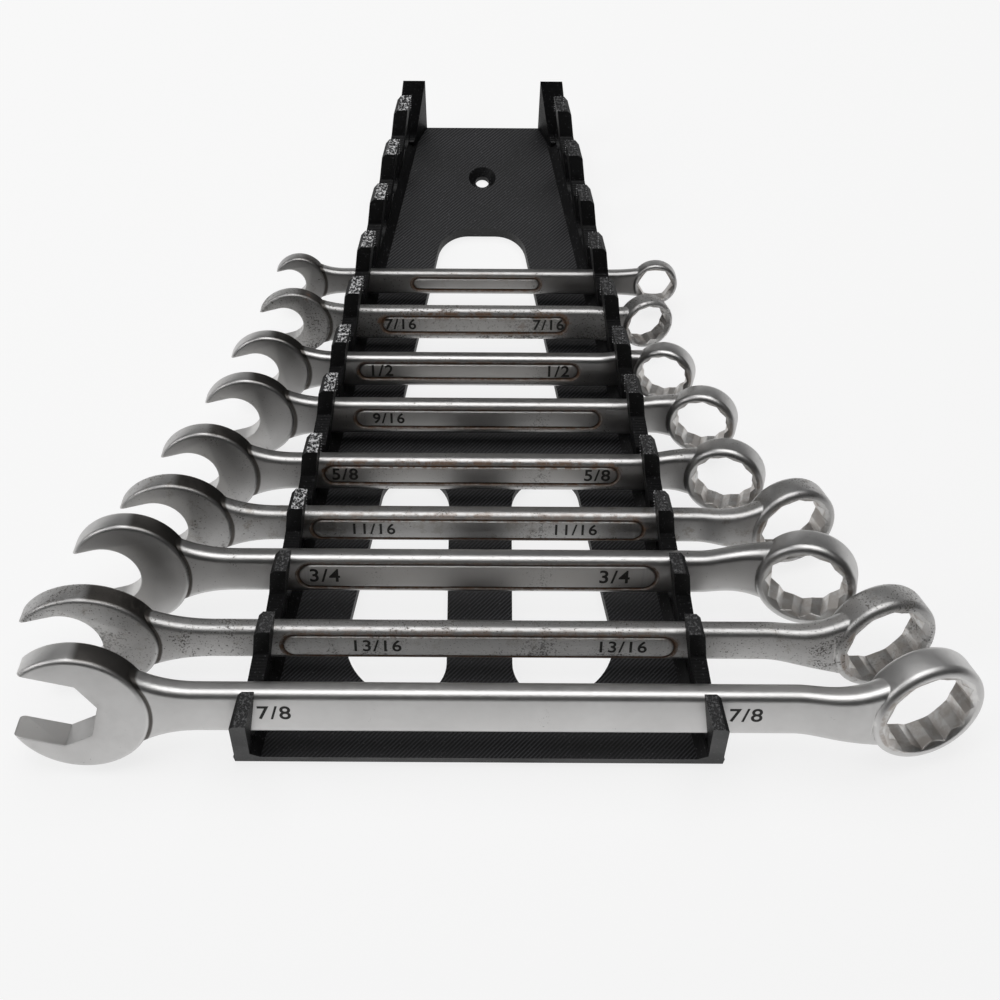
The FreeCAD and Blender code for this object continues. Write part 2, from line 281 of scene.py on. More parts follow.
class Solid:
    """Closed meshes in mm, and what joins and cuts them."""

    @staticmethod
    def show(name: str, data: Any) -> Object:
        """Put data into the scene, at the origin.

        Args:
            name: Name of the object.
            data: Its mesh, curve, lamp or camera.

        Returns:
            The object.
        """
        thing = bpy.data.objects.new(name, data)
        bpy.context.scene.collection.objects.link(thing)
        return thing

    @classmethod
    def make(cls, name: str, points: Points, faces: Sequence[Sequence[int]]) -> Object:
        """Make an object from points and faces.

        Args:
            name: Its name.
            points: Coordinates.
            faces: Point numbers of each face.

        Returns:
            The object, with its faces outward.
        """
        mesh = bpy.data.meshes.new(name)
        mesh.from_pydata([tuple(p) for p in points], [], [tuple(f) for f in faces])
        shape = bmesh.new()
        shape.from_mesh(mesh)
        bmesh.ops.recalc_face_normals(shape, faces=shape.faces)
        shape.to_mesh(mesh)
        shape.free()
        return cls.show(name, mesh)

    @classmethod
    def loft(cls, name: str, rings: Sequence[Points], capped: bool = True) -> Object:
        """Skin rings of equal length.

        Args:
            name: Name of the object.
            rings: The rings in order.
            capped: Closes the ends if true, else joins the last ring to the first.

        Returns:
            The object.
        """
        count = len(rings[0])
        points = [p for ring in rings for p in ring]
        faces: list[tuple[int, ...]] = []
        last = len(rings) - 1 if capped else len(rings)
        for i in range(last):
            a, b = i * count, ((i + 1) % len(rings)) * count
            for k in range(count):
                n = (k + 1) % count
                faces.append((a + k, a + n, b + n, b + k))
        if capped:
            faces.append(tuple(range(count)))
            faces.append(tuple(range(last * count, len(points))))
        return cls.make(name, points, faces)

    @classmethod
    def prism(cls, name: str, outline: Points,
              along: Sequence[float]) -> Object:
        """Sweep a flat outline.

        Args:
            name: Name of the object.
            outline: Its corners.
            along: The sweep.

        Returns:
            The object.
        """
        far = [tuple(p[i] + along[i] for i in range(3)) for p in outline]
        return cls.loft(name, [outline, far])

    @classmethod
    def disc(cls, name: str, radius: float, thick: float, share: float,
             steps: int = 96) -> Object:
        """Make a disc about Z with a rounded rim.

        Args:
            name: Name of the object.
            radius: Outer radius.
            thick: Thickness.
            share: Rounding of the rim, per thickness.
            steps: Corners of the circle.

        Returns:
            The object.
        """
        half, rim = thick / 2, share * thick
        profile = []
        for side in (-1, 1):
            for k in range(7):
                angle = radians(15.0 * (k if side > 0 else 6 - k))
                profile.append((radius - rim + rim * cos(angle),
                                side * (half - rim + rim * sin(angle))))
        turns = [2 * pi * k / steps for k in range(steps)]
        rings = [[(r * cos(a), r * sin(a), z) for a in turns] for r, z in profile]
        return cls.loft(name, rings)

    @staticmethod
    def bake(thing: Object) -> None:
        """Turn an object's modifiers into plain mesh.

        Args:
            thing: The object.
        """
        graph = bpy.context.evaluated_depsgraph_get()
        mesh = bpy.data.meshes.new_from_object(thing.evaluated_get(graph))
        thing.modifiers.clear()
        old, thing.data = thing.data, mesh
        bpy.data.meshes.remove(old)

    @classmethod
    def combine(cls, thing: Object, other: Object, way: str,
                place: Matrix) -> None:
        """Join or cut with another solid, which is used up.

        Args:
            thing: The object that stays.
            other: The other object.
            way: UNION or DIFFERENCE.
            place: Moves the other object's mesh first.
        """
        other.data.transform(place)
        change = thing.modifiers.new("combine", "BOOLEAN")
        change.operation = way
        change.solver = "MANIFOLD"
        change.object = other
        cls.bake(thing)
        if not thing.data.polygons:
            LOG.error("%s with %s left nothing", way, other.name)
        bpy.data.objects.remove(other)


@dataclass
class Graph:
    """Short ways to wire a node tree.

    Attributes:
        tree: The tree.
    """

    tree: NodeTree

    def fill(self, inputs: Any, values: dict[Any, Any]) -> None:
        """Link inputs or set their values.

        Args:
            inputs: The inputs of a node.
            values: A socket or a plain value for each.
        """
        for key, value in values.items():
            if isinstance(value, bpy.types.NodeSocket):
                self.tree.links.new(value, inputs[key])
            else:
                inputs[key].default_value = value

    def node(self, kind: str, values: dict[Any, Any] | None = None, **settings: Any) -> Any:
        """Add a node.

        Args:
            kind: Its type.
            values: A socket or a plain value for each input.
            **settings: Its properties.

        Returns:
            The node's outputs.
        """
        made = self.tree.nodes.new(kind)
        for key, value in settings.items():
            setattr(made, key, value)
        self.fill(made.inputs, values or {})
        return made.outputs

    def math(self, way: str, a: Any, b: Any = 0.0, clamp: bool = False) -> Any:
        """Do arithmetic.

        Args:
            way: The operation.
            a: First value.
            b: Second value.
            clamp: Keeps the result between 0 and 1.

        Returns:
            The result's socket.
        """
        return self.node("ShaderNodeMath", {0: a, 1: b}, operation=way, use_clamp=clamp)[0]

    def plus(self, a: Any, b: Any) -> Any:
        """Give a + b."""
        return self.math("ADD", a, b)

    def minus(self, a: Any, b: Any, clamp: bool = False) -> Any:
        """Give a - b."""
        return self.math("SUBTRACT", a, b, clamp)

    def times(self, a: Any, b: Any) -> Any:
        """Give a times b."""
        return self.math("MULTIPLY", a, b)

    def length(self, a: Any, b: Any) -> Any:
        """Give the length of the way a across and b up."""
        return self.math("SQRT", self.plus(self.times(a, a), self.times(b, b)))

    def span(self, value: Any, low: Any, high: Any, start: float = 0.0, end: float = 1.0) -> Any:
        """Map a value smoothly from one range to another.

        Args:
            value: The value.
            low: Its low end.
            high: Its high end.
            start: Result at the low end.
            end: Result at the high end.

        Returns:
            The result's socket.
        """
        values = dict(enumerate((value, low, high, start, end)))
        return self.node("ShaderNodeMapRange", values, interpolation_type="SMOOTHSTEP")[0]

    def noise(self, vector: Any, scale: Any, detail: float = 3.0, rough: float = 0.55) -> Any:
        """Add noise.

        Args:
            vector: Where.
            scale: Its scale.
            detail: Its detail.
            rough: Its roughness.

        Returns:
            The noise's socket.
        """
        return self.node("ShaderNodeTexNoise", {
            "Vector": vector, "Scale": scale, "Detail": detail, "Roughness": rough})[0]

    def tint(self, share: Any, a: Any, b: Any) -> Any:
        """Mix two colours.

        Args:
            share: How much of the second.
            a: First colour.
            b: Second colour.

        Returns:
            The colour's socket.
        """
        return self.node("ShaderNodeMix", {0: share, 6: a, 7: b}, data_type="RGBA")[2]

    def split(self, vector: Any) -> tuple[Any, Any, Any]:
        """Split a vector.

        Args:
            vector: The vector.

        Returns:
            Its three sockets.
        """
        return tuple(self.node("ShaderNodeSeparateXYZ", {0: vector}))

    def use(self, group: NodeTree, **values: Any) -> Any:
        """Add a group.

        Args:
            group: The group.
            **values: Its inputs by name.

        Returns:
            The group's outputs.
        """
        return self.node("ShaderNodeGroup", values, node_tree=group)


class Repeats:
    """Geometry Nodes trees for what repeats."""

    @staticmethod
    def _tree(name: str, numbers: dict[str, float]) -> Graph:
        """Begin a tree that takes numbers and a material."""
        tree = bpy.data.node_groups.new(name, "GeometryNodeTree")
        new = tree.interface.new_socket
        new("Geometry", in_out="INPUT", socket_type="NodeSocketGeometry")
        for label, value in numbers.items():
            kind = "NodeSocketInt" if isinstance(value, int) else "NodeSocketFloat"
            new(label, in_out="INPUT", socket_type=kind).default_value = value
        new("Material", in_out="INPUT", socket_type="NodeSocketMaterial")
        new("Geometry", in_out="OUTPUT", socket_type="NodeSocketGeometry")
        return Graph(tree)

    @staticmethod
    def _finish(g: Graph, shape: Any, start: Any) -> NodeTree:
        """Realize and paint the result."""
        real = g.node("GeometryNodeRealizeInstances", {"Geometry": shape})["Geometry"]
        done = g.node("GeometryNodeSetMaterial", {"Geometry": real, "Material": start["Material"]})
        g.fill(g.tree.nodes.new("NodeGroupOutput").inputs, {0: done["Geometry"]})
        return g.tree

    @staticmethod
    def apply(thing: Object, tree: NodeTree, values: dict[str, Any]) -> None:
        """Run a tree on an object and keep the plain mesh.

        Args:
            thing: The object.
            tree: The tree.
            values: Inputs by name.
        """
        change = thing.modifiers.new("repeats", "NODES")
        change.node_group = tree
        for item in tree.interface.items_tree:
            if item.in_out == "INPUT" and item.name in values:
                change[item.identifier] = values[item.name]
        Solid.bake(thing)

    @classmethod
    def socket(cls) -> NodeTree:
        """Make the tree of a box end's socket: a star swept along Z.

        Returns:
            The tree.
        """
        g = cls._tree("box_end_socket", {"Points": 12, "Inner": 1.0, "Outer": 1.1, "Half": 5.0})
        start = g.node("NodeGroupInput")
        star = g.node("GeometryNodeCurveStar", {
            "Points": start["Points"], "Inner Radius": start["Inner"],
            "Outer Radius": start["Outer"]})
        ends = {key: g.node("ShaderNodeCombineXYZ", {"Z": g.times(start["Half"], side)})[0]
                for key, side in (("Start", -1.0), ("End", 1.0))}
        line = g.node("GeometryNodeCurvePrimitiveLine", ends)
        sweep = g.node("GeometryNodeCurveToMesh", {
            "Curve": line["Curve"], "Profile Curve": star["Curve"], "Fill Caps": True})
        return cls._finish(g, sweep["Mesh"], start)

    @classmethod
    def beads(cls) -> NodeTree:
        """Make the tree of the small beads along printed edges.

        Returns:
            The tree.
        """
        g = cls._tree("edge_beads", {"Step": 0.001, "Radius": 0.0002, "Seed": 7})
        start = g.node("NodeGroupInput")
        curve = g.node("GeometryNodeMeshToCurve", {"Mesh": start["Geometry"]})["Curve"]
        spots = g.node("GeometryNodeResampleCurve", {
            "Curve": curve, "Length": start["Step"]}, mode="LENGTH")["Curve"]
        ball = g.node("GeometryNodeMeshIcoSphere", {"Radius": start["Radius"], "Subdivisions": 1})
        size = g.node("FunctionNodeRandomValue", {
            2: 0.3, 3: 1.0, "Seed": start["Seed"]}, data_type="FLOAT")[1]
        placed = g.node("GeometryNodeInstanceOnPoints", {
            "Points": spots, "Instance": ball["Mesh"], "Scale": size})
        return cls._finish(g, placed["Instances"], start)


class Effects:
    """Shader node groups shared by the materials."""

    def __init__(self) -> None:
        """Build every group once."""
        self.pits = self._pits()
        self.patches = self._patches()
        self.oval = self._oval()
        self.step_shade = self._step_shade()
        self.lines = self._lines()
        self.pointy = self._pointy()

    @staticmethod
    def _start(name: str, inputs: Sequence[str], outputs: Sequence[str]) -> tuple[Graph, Any, Any]:
        """Begin a group: a place called Vector, plain numbers in and plain numbers out."""
        tree = bpy.data.node_groups.new(name, "ShaderNodeTree")
        for key in inputs:
            kind = "NodeSocketVector" if key == "Vector" else "NodeSocketFloat"
            tree.interface.new_socket(key, in_out="INPUT", socket_type=kind)
        for key in outputs:
            tree.interface.new_socket(key, in_out="OUTPUT", socket_type="NodeSocketFloat")
        graph = Graph(tree)
        return graph, graph.node("NodeGroupInput"), tree.nodes.new("NodeGroupOutput").inputs

    def _pits(self) -> NodeTree:
        """Fine pits: a dark mask and a height."""
        g, into, out = self._start("pits", ("Vector", "Amount"), ("Mask", "Height"))
        broad = g.noise(into["Vector"], 0.09, 4.0)
        fine = g.noise(into["Vector"], 1.6, 3.0, 0.7)
        grain = g.noise(into["Vector"], 4.5, 2.0)
        level = g.minus(0.80, g.times(into["Amount"], 0.26))
        level = g.minus(level, g.span(broad, 0.45, 0.75, 0.0, 0.14))
        mask = g.span(fine, level, g.plus(level, 0.06))
        g.fill(out, {"Mask": mask, "Height": g.minus(g.times(grain, 0.35), mask)})
        return g.tree

    def _patches(self) -> NodeTree:
        """Uneven patches of dirt or rust."""
        g, into, out = self._start("patches", ("Vector", "Amount", "Scale"), ("Mask",))
        big = g.noise(into["Vector"], into["Scale"], 6.0, 0.68)
        small = g.noise(into["Vector"], g.times(into["Scale"], 9.0), 3.0, 0.6)
        mixed = g.plus(g.times(big, 0.75), g.times(small, 0.25))
        level = g.minus(0.74, g.times(into["Amount"], 0.30))
        g.fill(out, {"Mask": g.span(mixed, level, g.plus(level, 0.10))})
        return g.tree

    def _oval(self) -> NodeTree:
        """A band that follows an oval outline on both faces of a shaft."""
        g, into, out = self._start("oval_band", (
            "Vector", "Start", "End", "Half", "Middle", "Width"), ("Mask", "Upper"))
        x, y, _ = g.split(into["Vector"])
        y = g.minus(y, into["Middle"])
        low = g.plus(into["Start"], into["Half"])
        high = g.minus(into["End"], into["Half"])
        over = g.math("MAXIMUM", g.minus(low, x), g.minus(x, high))
        away = g.length(g.math("MAXIMUM", over, 0.0), y)
        off = g.math("ABSOLUTE", g.minus(away, into["Half"]))
        mask = g.span(off, g.times(into["Width"], 0.45), into["Width"], 1.0, 0.0)
        g.fill(out, {"Mask": mask, "Upper": g.times(mask, g.span(y, 0.0, 1.0))})
        return g.tree

    def _step_shade(self) -> NodeTree:
        """A thin band where the thick head meets the shaft: the mask of the painted shade along
        that step.
        """
        g, into, out = self._start("head_step_shade", (
            "Vector", "Middle", "Radius", "Along", "Across"), ("Mask",))
        x, y, _ = g.split(into["Vector"])
        x = g.math("DIVIDE", g.minus(x, into["Middle"]), into["Along"])
        y = g.math("DIVIDE", y, into["Across"])
        off = g.minus(g.length(x, y), into["Radius"])
        band = g.span(g.math("ABSOLUTE", g.minus(off, 0.25)), 0.25, 0.75, 1.0, 0.0)
        g.fill(out, {"Mask": g.times(band, g.span(x, 0.0, 3.0))})
        return g.tree

    def _lines(self) -> NodeTree:
        """Printed lines at an angle in the plane of the plate."""
        g, into, out = self._start("print_lines", ("Vector", "Slope", "Pitch"), ("Lines",))
        x, y, _ = g.split(into["Vector"])
        along = g.plus(x, g.times(y, into["Slope"]))
        wave = g.math("SINE", g.math("DIVIDE", g.times(along, 2 * pi), into["Pitch"]))
        g.fill(out, {"Lines": g.span(wave, -0.4, 0.9)})
        return g.tree

    def _pointy(self) -> NodeTree:
        """Outer edges by pointiness, where the painted highlight goes; with Low above High, the
        concave creases, where the painted shade goes.
        """
        g, into, out = self._start("pointiness_band", ("Low", "High"), ("Mask",))
        point = g.node("ShaderNodeNewGeometry")["Pointiness"]
        g.fill(out, {"Mask": g.span(point, into["Low"], into["High"])})
        return g.tree


@dataclass(frozen=True)
class SteelFinish:
    """Colours on the plated steel, and the rounding of its edges in metres."""

    grime: Colour = (0.17, 0.135, 0.095, 1)
    pit: Colour = (0.05, 0.042, 0.035, 1)
    # painted shade along the step where the thick open end meets the shaft
    step_shade: Colour = (0.035, 0.027, 0.02, 1)
    # painted shade in the concave creases
    crease_shade: Colour = (0.05, 0.04, 0.03, 1)
    groove_dark: Colour = (0.03, 0.022, 0.015, 1)
    groove_brown: Colour = (0.17, 0.075, 0.025, 1)
    groove_rust: Colour = (0.16, 0.075, 0.03, 1)
    rust_dark: Colour = (0.06, 0.025, 0.012, 1)
    rust_light: Colour = (0.23, 0.095, 0.035, 1)
    socket_wall: Colour = (0.19, 0.12, 0.07, 1)
    # painted highlight along the convex edges
    edge_highlight: Colour = (0.85, 0.84, 0.82, 1)
    groove_width: float = 0.75
    groove_spread: float = 1.8
    edge_round: float = 0.0005
    pit_depth: float = 0.0003
    pit_strength: float = 0.22


@dataclass(frozen=True)
class PlasticFinish:
    """Colours and levels of the printed plastic, in metres."""

    black: Colour = (0.0035, 0.0035, 0.004, 1)
    glint: Colour = (0.16, 0.16, 0.17, 1)
    # grey of the printed infill lines: a painted sheen on the black plastic
    line: Colour = (0.075, 0.075, 0.082, 1)
    # white speckles on the tooth tops: a painted highlight
    speckle_highlight: Colour = (0.85, 0.85, 0.86, 1)
    plate_top: tuple[float, float] = (0.0044, 0.0050)
    tooth_top: tuple[float, float] = (0.0282, 0.0288)
    pitch: float = 0.00125
    layer: float = 0.0004
    specular: float = 0.30
    depth: float = 0.00012
    strength: float = 0.6


class Paints:
    """Every material."""

    STEEL = SteelFinish()
    PLASTIC = PlasticFinish()

    def __init__(self) -> None:
        """Build the shared groups first."""
        self.effects = Effects()
        self.stamp = self._plain("stamp_ink", (0.018, 0.016, 0.014), 0.6)
        # the beads' light grey is a painted highlight on the black plastic
        self.bead = self._plain("bead_highlight", (0.42, 0.42, 0.43), 0.35)

    @staticmethod
    def _new(name: str) -> tuple[Material, Graph, Any]:
        paint = bpy.data.materials.new(name)
        paint.use_nodes = True
        return paint, Graph(paint.node_tree), paint.node_tree.nodes["Principled BSDF"].inputs

    def _plain(self, name: str, colour: Sequence[float], rough: float) -> Material:
        paint, g, shader = self._new(name)
        speck = g.noise(g.node("ShaderNodeTexCoord")["Object"], 2500.0, 2.0)
        dark = (*(part * 0.7 for part in colour), 1.0)
        g.fill(shader, {"Base Color": g.tint(speck, dark, (*colour, 1.0)), "Roughness": rough})
        return paint

    def steel(self, tool: Tool) -> Material:
        """Make the worn plate of one wrench.

        Args:
            tool: The wrench.

        Returns:
            The material.
        """
        paint, g, shader = self._new("plate_" + tool.node)
        wear, look, effects = tool.wear, self.STEEL, self.effects
        place = g.node("ShaderNodeAttribute", attribute_name="on_wrench")["Vector"]
        pits = g.use(effects.pits, Vector=place, Amount=wear.pits)
        dirt = g.use(effects.patches, Vector=place, Amount=wear.grime, Scale=0.22)["Mask"]
        rust = g.use(effects.patches, Vector=place, Amount=wear.rust, Scale=0.13)["Mask"]
        step_shade = g.use(effects.step_shade, Vector=place, Middle=tool.disc_x, Radius=tool.head_radius,
                    Along=tool.disc_along, Across=tool.beak[1])["Mask"]
        # pointiness above 0.51 marks the convex edges for a painted highlight
        edge = g.use(effects.pointy, Low=0.51, High=0.56)["Mask"]
        # pointiness below 0.45 marks the concave creases for painted shade
        crease_shade = g.use(effects.pointy, Low=0.49, High=0.45)["Mask"]
        dull, bright = ((*(wear.tone * part for part in parts), 1)
                        for parts in ((0.82, 0.81, 0.80), (1.06, 1.05, 1.04)))
        colour = g.tint(g.noise(place, 0.05, 3.0), dull, bright)
        colour = g.tint(g.times(dirt, 0.55 * wear.grime), colour, look.grime)
        colour = g.tint(g.times(pits["Mask"], 0.78), colour, look.pit)
        # painted shade along the step where the thick open end meets the shaft
        colour = g.tint(g.times(step_shade, 0.85), colour, look.step_shade)
        # darkens the concave creases as painted shade
        colour = g.tint(g.times(crease_shade, 0.6), colour, look.crease_shade)
        rough = g.plus(wear.rough, g.times(g.noise(place, 0.6, 4.0), 0.16))
        rough = g.plus(rough, g.times(pits["Mask"], 0.3))
        metal = g.minus(1.0, g.times(pits["Mask"], 0.6))
        if tool.panel:
            start, end, tall, middle = tool.panel
            panel = dict(Vector=place, Start=start, End=end, Half=tall / 2, Middle=middle)
            band = g.use(effects.oval, **panel, Width=look.groove_width)["Mask"]
            brown = g.tint(g.noise(place, 0.8, 4.0), look.groove_dark, look.groove_brown)
            soil = g.noise(place, 0.35, 4.0, 0.7)
            deep = g.times(band, g.span(soil, 0.35, 0.6, 0.55, 0.95))
            colour = g.tint(deep, colour, brown)
            spread = g.use(effects.oval, **panel, Width=look.groove_spread)["Upper"]
            spread = g.times(g.times(spread, g.span(soil, 0.42, 0.60)), wear.groove_rust)
            colour = g.tint(spread, colour, look.groove_rust)
            metal = g.minus(metal, g.times(deep, 0.8), clamp=True)
            metal = g.minus(metal, g.times(spread, 0.8), clamp=True)
        if wear.rust > 0:
            deep_rust = g.tint(g.noise(place, 1.3, 4.0), look.rust_dark, look.rust_light)
            colour = g.tint(g.times(rust, 0.85), colour, deep_rust)
            metal = g.minus(metal, g.times(rust, 0.85), clamp=True)
            rough = g.plus(rough, g.times(rust, 0.25))
        colour = g.tint(g.times(self._inside(g, place, tool), 0.5), colour, look.socket_wall)
        # lightens the convex edges as a painted highlight
        colour = g.tint(g.times(edge, 0.35), colour, look.edge_highlight)
        rounded = g.node("ShaderNodeBevel", {"Radius": look.edge_round}, samples=4)[0]
        bumped = g.node("ShaderNodeBump", {
            "Strength": look.pit_strength, "Distance": look.pit_depth,
            "Height": pits["Height"], "Normal": rounded})[0]
        g.fill(shader, {
            "Base Color": colour, "Metallic": metal, "Roughness": rough, "Normal": bumped})
        return paint

    @staticmethod
    def _inside(g: Graph, place: Any, tool: Tool) -> Any:
        """Mask the dirty wall inside a box end."""
        x, y, _ = g.split(place)
        away = g.length(g.minus(x, tool.ring_x), y)
        near = g.span(away, 0.585 * tool.across, 0.60 * tool.across, 1.0, 0.0)
        return g.times(near, g.span(g.noise(place, 0.3, 4.0), 0.35, 0.6))

    def rack(self) -> Material:
        """Make the black printed plastic.

        Returns:
            The material.
        """
        paint, g, shader = self._new("printed_plastic")
        look = self.PLASTIC
        place = g.node("ShaderNodeTexCoord")["Object"]
        x, y, z = g.split(place)
        facing = g.split(g.node("ShaderNodeNewGeometry")["Normal"])[2]
        flat = g.span(facing, 0.90, 0.97)
        on_plate = g.times(flat, g.span(z, *look.plate_top, 1.0, 0.0))
        on_top = g.times(flat, g.span(z, *look.tooth_top))
        # the left rail, where the tooth tops get a stronger painted highlight
        left = g.times(g.span(x, -0.004, 0.004, 1.0, 0.0), g.span(y, -0.036, -0.034))
        lines = g.use(self.effects.lines, Vector=place, Slope=-1.0, Pitch=look.pitch)["Lines"]
        layers = g.math("SINE", g.times(z, 2 * pi / look.layer))
        broad = g.noise(place, 40.0, 3.0)
        glint = g.span(g.noise(place, 1500.0, 2.0), 0.62, 0.72)
        speckle_highlight = g.times(g.span(g.noise(place, 1300.0, 3.0, 0.7), 0.47, 0.60), on_top)
        lines = g.times(lines, on_plate)
        shine = g.times(lines, g.span(broad, 0.3, 0.7, 0.35, 1.0))
        colour = g.tint(g.times(glint, 0.38), look.black, look.glint)
        # the printed infill lines on the plate, lightened as a painted sheen
        colour = g.tint(g.times(shine, 0.75), colour, look.line)
        # white speckles on the tooth tops as a painted highlight, stronger on the left rail
        bright = g.times(speckle_highlight, g.span(left, 0.0, 1.0, 0.12, 0.9))
        colour = g.tint(bright, colour, look.speckle_highlight)
        height = g.plus(g.plus(lines, g.times(layers, 0.25)), g.times(speckle_highlight, 2.0))
        bumped = g.node("ShaderNodeBump", {
            "Strength": look.strength, "Distance": look.depth, "Height": height})[0]
        g.fill(shader, {
            "Base Color": colour, "Roughness": g.span(broad, 0.3, 0.7, 0.46, 0.58),
            "Specular IOR Level": look.specular, "Normal": bumped})
        return paint


def adopt(piece: Object, node: str = "") -> None:
    """Hide the CAD node that a piece replaces, if any, and attach the piece to the root body.

    Args:
        piece: The piece.
        node: The CAD node it replaces, if any.
    """
    if node:
        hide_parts(node)
    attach(piece, "root")


@dataclass
class WrenchMaker:
    """Builds one wrench in its flat frame and dresses its node.

    Attributes:
        paints: The materials.
        socket_tree: The tree of the box end's socket.
        flare: Start, length and power of the flare, in reaches of the open end.
        neck: Start, length and power of the neck, in radii of the box end.
        root: Half height of the flare's root, per radius of the open end.
        collar: Half height and half thickness of the neck's end, per box end.
        rounding: Radius of the shaft's edges, per half thickness.
        rims: Rounding of the open and the box end, per thickness.
        jaw_gap: Added to half the width of the jaws.
        jaw_shift: Middle of the opening off the head's, per width across flats.
        jaw_flats: Flank and floor of an angular throat, per width across flats.
        socket_gap: Added to the radii of the socket.
        bevel: Steps of the socket's bevel: outward, and added to the radius.
        groove: Radius of a groove, its inset and its middle above the face.
        sharp: Angle from which an edge stays sharp.
    """

    paints: Paints
    socket_tree: NodeTree
    flare: tuple[float, float, float] = (0.55, 1.15, 2.4)
    neck: tuple[float, float, float] = (0.70, 1.45, 2.2)
    root: float = 0.80
    collar: tuple[float, float] = (0.66, 0.40)
    rounding: float = 0.714
    rims: tuple[float, float] = (0.16, 0.20)
    jaw_gap: float = 0.15
    jaw_shift: float = 0.16
    jaw_flats: tuple[float, float] = (0.30, 0.24)
    socket_gap: float = 0.1
    bevel: tuple[tuple[float, float], ...] = ((0.0, 0.55), (1.0, 1.0))
    groove: tuple[float, float, float] = (0.50, 0.35, 0.05)
    sharp: float = radians(28)

    @staticmethod
    def _ring(x: float, half: float, wide: float, shift: float,
              round_by: float) -> list[tuple[float, float, float]]:
        """One rounded section of the shaft."""
        points = []
        for quarter in range(4):
            cy = (half - round_by) * (1 if quarter in (0, 3) else -1)
            cz = shift + (wide - round_by) * (1 if quarter in (0, 1) else -1)
            for k in range(7):
                angle = radians(90 * quarter + 15 * k)
                points.append((x, cy + round_by * cos(angle),
                               cz + round_by * sin(angle)))
        return points

    def _shaft(self, tool: Tool) -> Object:
        """The shaft with its flare to the open end and its neck to the box end."""
        reach, ring = tool.head_radius * tool.beak[0], tool.ring_radius
        start, end = tool.head_x + 0.15 * reach, tool.ring_x - 0.30 * ring
        count = max(60, int(end - start))
        half, wide = tool.tall / 2, tool.thick / 2
        root = self.root * tool.head_radius * tool.beak[1] - half
        collar = max(0.0, self.collar[0] * ring - half)
        swell = self.collar[1] * tool.ring_thick - wide
        rings = []
        for i in range(count + 1):
            x = start + (end - start) * i / count
            into_head = (x - tool.head_x - self.flare[0] * reach) / (self.flare[1] * reach)
            into_ring = (tool.ring_x - self.neck[0] * ring - x) / (self.neck[1] * ring)
            u = 1 - min(max(into_head, 0.0), 1.0)
            v = 1 - min(max(into_ring, 0.0), 1.0)
            tall = half + root * u ** self.flare[2] + collar * v ** self.neck[2]
            deep = wide * (1 + 0.05 * u ** 2) + swell * v ** 2.5
            plane = tool.ring_z - (x - tool.ring_x) * tan(RING_TURN) * tool.bend
            shift = plane * v ** 2 * (3 - 2 * v)
            rings.append(self._ring(x, tall, deep, shift, self.rounding * min(deep, tall)))
        return Solid.loft(tool.node, rings)

    def _jaw(self, tool: Tool) -> tuple[Object, Matrix]:
        """The cutter of the open end and its place."""
        half = tool.across / 2 + self.jaw_gap
        depth = tool.throat * tool.across
        far = 3 * tool.head_radius
        low = -tool.head_thick
        if tool.largest:
            flank, floor = (share * tool.across for share in self.jaw_flats)
            flank = depth - flank
            throat = [(flank, half), (depth, floor), (depth, -floor), (flank, -half)]
        else:
            throat = [(depth - half + half * cos(a), half * sin(a))
                      for a in (radians(step) for step in range(90, -91, -6))]
        outline = [(x, y, low) for x, y in ((-far, half), *throat, (-far, -half))]
        cutter = Solid.prism("jaw", outline, (0, 0, 2 * tool.head_thick))
        middle = Matrix.Translation((tool.head_x - self.jaw_shift * tool.across, 0, 0))
        return cutter, middle @ Matrix.Rotation(tool.jaw_turn, 4, "Z")

    def _hollow(self, tool: Tool) -> list[Object]:
        """The cutters of the box end."""
        seed = Solid.make("socket", [(0, 0, 0), (1, 0, 0), (0, 1, 0)], [(0, 1, 2)])
        outer = tool.across / 2 / cos(radians(30)) + self.socket_gap
        inner = tool.across / 2 / cos(radians(15)) + self.socket_gap
        if tool.points == 6:
            inner = outer * cos(radians(30))
        Repeats.apply(seed, self.socket_tree, {"Points": tool.points, "Inner": inner,
                                               "Outer": outer, "Half": tool.ring_thick})
        cutters = [seed]
        steps = [(-1.5, inner - 0.6)] + [(off, outer + more) for off, more in self.bevel]
        turns = [radians(k * 5) for k in range(72)]
        for side in (-1, 1):
            rings = []
            for off, radius in steps:
                z = side * (tool.ring_thick / 2 + off)
                rings.append([(radius * cos(a), radius * sin(a), z) for a in turns])
            cutters.append(Solid.loft("bevel", rings))
        return cutters

    @staticmethod
    def _ring_place(tool: Tool) -> Matrix:
        """Where the box end sits on the shaft."""
        turn = Matrix.Rotation(RING_TURN * tool.bend, 4, "Y")
        return Matrix.Translation((tool.ring_x, 0, tool.ring_z)) @ turn

    def _groove(self, tool: Tool, side: int) -> Object:
        """The cutter of one oval groove."""
        start, end, tall, middle = tool.panel
        deep, inset, above = self.groove
        radius = tall / 2 - inset
        face = side * (tool.thick / 2 + above)
        around = [pi / 4 * k for k in range(8)]
        rings = []
        for centre, first in ((end - tall / 2, -90), (start + tall / 2, 90)):
            for k in range(25):
                turn = radians(first + 7.5 * k)
                rings.append([(centre + (radius + deep * cos(a)) * cos(turn),
                               middle + (radius + deep * cos(a)) * sin(turn),
                               face + deep * sin(a)) for a in around])
        return Solid.loft("groove", rings, capped=False)

